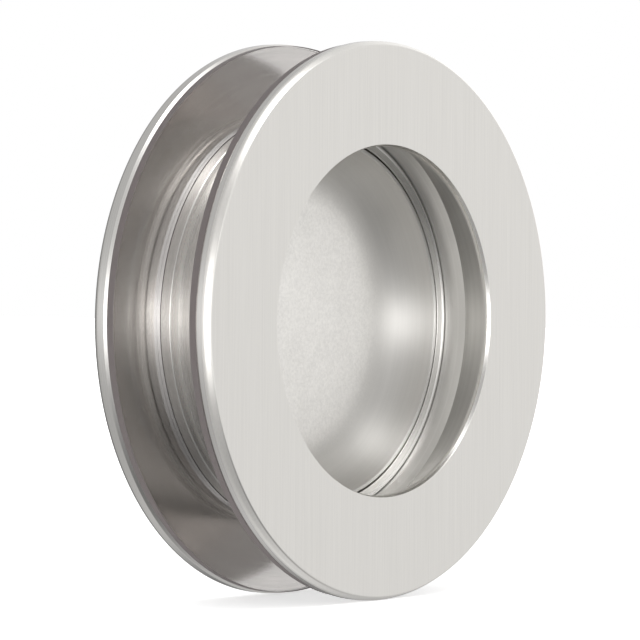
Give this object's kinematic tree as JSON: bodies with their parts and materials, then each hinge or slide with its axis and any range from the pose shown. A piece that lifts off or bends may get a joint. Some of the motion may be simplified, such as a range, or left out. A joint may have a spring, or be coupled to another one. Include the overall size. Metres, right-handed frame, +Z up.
{
  "type": "pocket door pull",
  "caption": "Round flush finger pull for a sliding or pocket glass door, with flanged roses that clamp through a hole in the glass and an undercut finger cup.",
  "frame": {"origin": "on the pull's axis, at the middle of the thickness of the clamped glass", "axes": "+Y along the pull's axis from the finger opening to the closed rear rose, +Z up as fitted in a standing door"},
  "size_m": [0.07, 0.0184, 0.07],
  "materials": {
    "satin_steel": "satin brushed faces, turned edges and sleeve",
    "blasted_steel": "fine matte blasted",
    "clear_vinyl": "clear, faintly smoky, glossy"
  },
  "bodies": {
    "root": {"front_rose": "satin_steel", "rear_rose": "satin_steel", "cup_liner": "blasted_steel", "front_gasket": "clear_vinyl", "rear_gasket": "clear_vinyl"}
  },
  "joints": []
}
